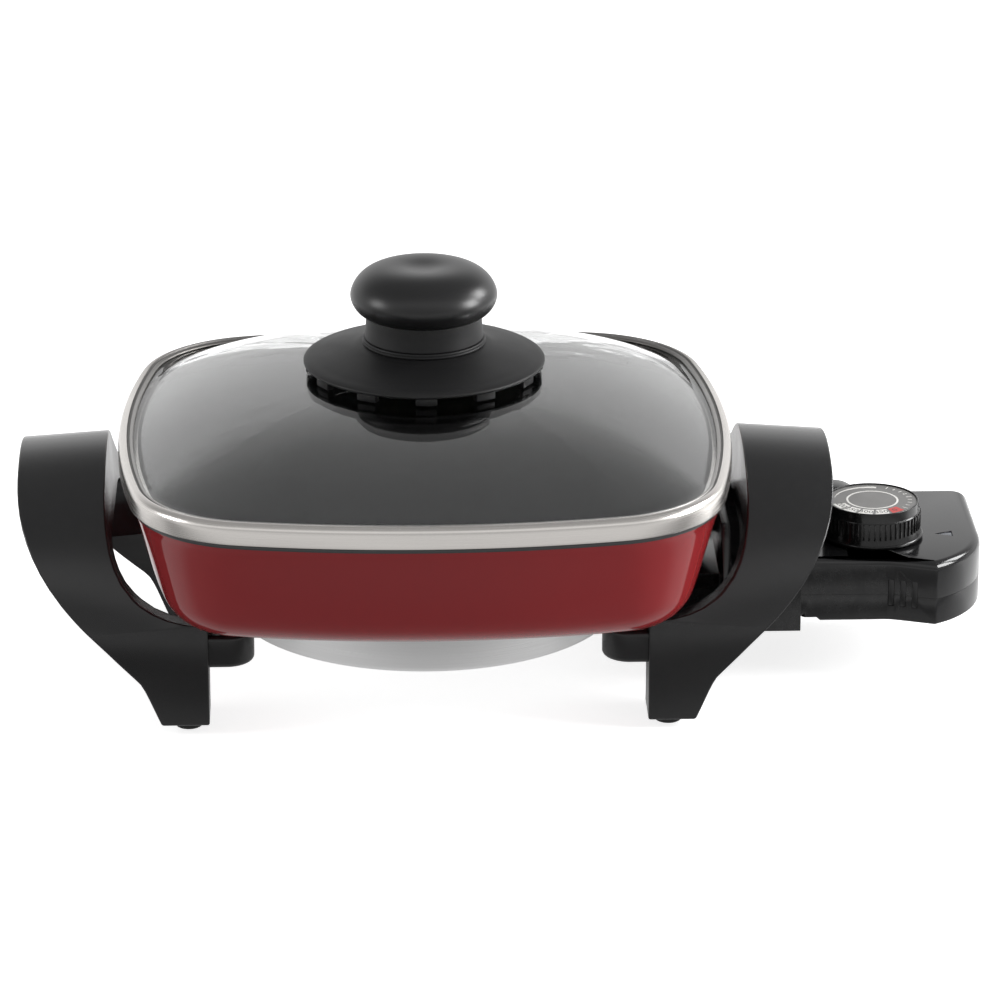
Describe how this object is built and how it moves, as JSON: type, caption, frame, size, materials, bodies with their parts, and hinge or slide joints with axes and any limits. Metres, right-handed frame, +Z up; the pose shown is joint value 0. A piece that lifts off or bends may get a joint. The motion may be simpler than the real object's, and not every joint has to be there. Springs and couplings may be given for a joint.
{
  "type": "electric skillet",
  "caption": "Square electric skillet: enamelled pan on leg handles, lift-off domed glass lid with a knob, and a plug-in heat control with a turning dial.",
  "frame": {"origin": "centre of the object's footprint box, on the table", "axes": "+X from the pan to the heat control, +Y to the rear, +Z up"},
  "size_m": [0.3414, 0.216, 0.1497],
  "materials": {
    "red_enamel": "gloss enamel outside, dark non-stick coating inside",
    "cast_aluminium": "as cast",
    "spun_aluminium": "spun, fine circular brush lines",
    "element_steel": "heat darkened",
    "plated_steel": "zinc or nickel plated",
    "steel_rim": "satin rolled stainless steel",
    "ceramic": "unglazed steatite",
    "black_phenolic": "moulded black phenolic, satin gloss",
    "black_rubber": "matt rubber",
    "lid_glass": "clear tempered glass",
    "knob_plastic": "satin black phenolic",
    "clear_silicone": "milky silicone",
    "brass": "machined",
    "control_plastic": "polished black phenolic",
    "pointer_lens": "smoked lens",
    "lamp_glass": "clear glow lamp",
    "dial_plastic": "ribbed black grip",
    "dial_print": "printed metal disc"
  },
  "bodies": {
    "skillet": {"pan": "red_enamel", "heater_plate": "cast_aluminium", "heating_element": "element_steel", "terminal_pins": "plated_steel", "terminal_insulators": "ceramic", "probe_well": "cast_aluminium", "base_cover": "spun_aluminium", "cover_stud": "plated_steel", "cover_nut": "plated_steel", "pan_standoffs": "plated_steel", "left_handle": "black_phenolic", "right_handle": "black_phenolic", "handle_screws": "plated_steel", "handle_washers": "plated_steel", "foot_front_left": "black_rubber", "foot_front_right": "black_rubber", "foot_rear_left": "black_rubber", "foot_rear_right": "black_rubber", "socket_guard": "black_phenolic"},
    "lid": {"lid_glass": "lid_glass", "lid_rim": "steel_rim", "knob_skirt": "knob_plastic", "knob_collar": "knob_plastic", "knob_cap": "knob_plastic", "knob_insert": "brass", "knob_seal": "clear_silicone", "knob_backing": "knob_plastic", "knob_screw": "plated_steel"},
    "control": {"control_top": "control_plastic", "control_base": "control_plastic", "control_screws": "plated_steel", "terminal_block": "ceramic", "contact_sleeves": "brass", "probe_rod": "plated_steel", "thermostat_frame": "plated_steel", "blade_stack": "ceramic", "contact_blades": "brass", "contact_points": "plated_steel", "bus_strips": "brass", "pilot_lens": "pointer_lens", "pilot_lamp": "lamp_glass", "cord_inlet": "black_rubber", "dial_bush": "brass"},
    "dial": {"dial_knob": "dial_plastic", "dial_plate": "dial_print", "dial_shaft": "plated_steel", "dial_cam": "ceramic"}
  },
  "joints": [
    {"name": "lid_lift", "type": "slide", "parent": "skillet", "child": "lid", "axis": [0, 0, 1], "range_m": [0, 0.12]},
    {"name": "control_unplug", "type": "slide", "parent": "skillet", "child": "control", "axis": [1, 0, 0], "range_m": [0, 0.11]},
    {"name": "dial_turn", "type": "hinge", "parent": "control", "child": "dial", "pos_m": [0.13165, 0, 0.05], "axis": [0, 0, 1], "range_deg": [0, 280]}
  ]
}
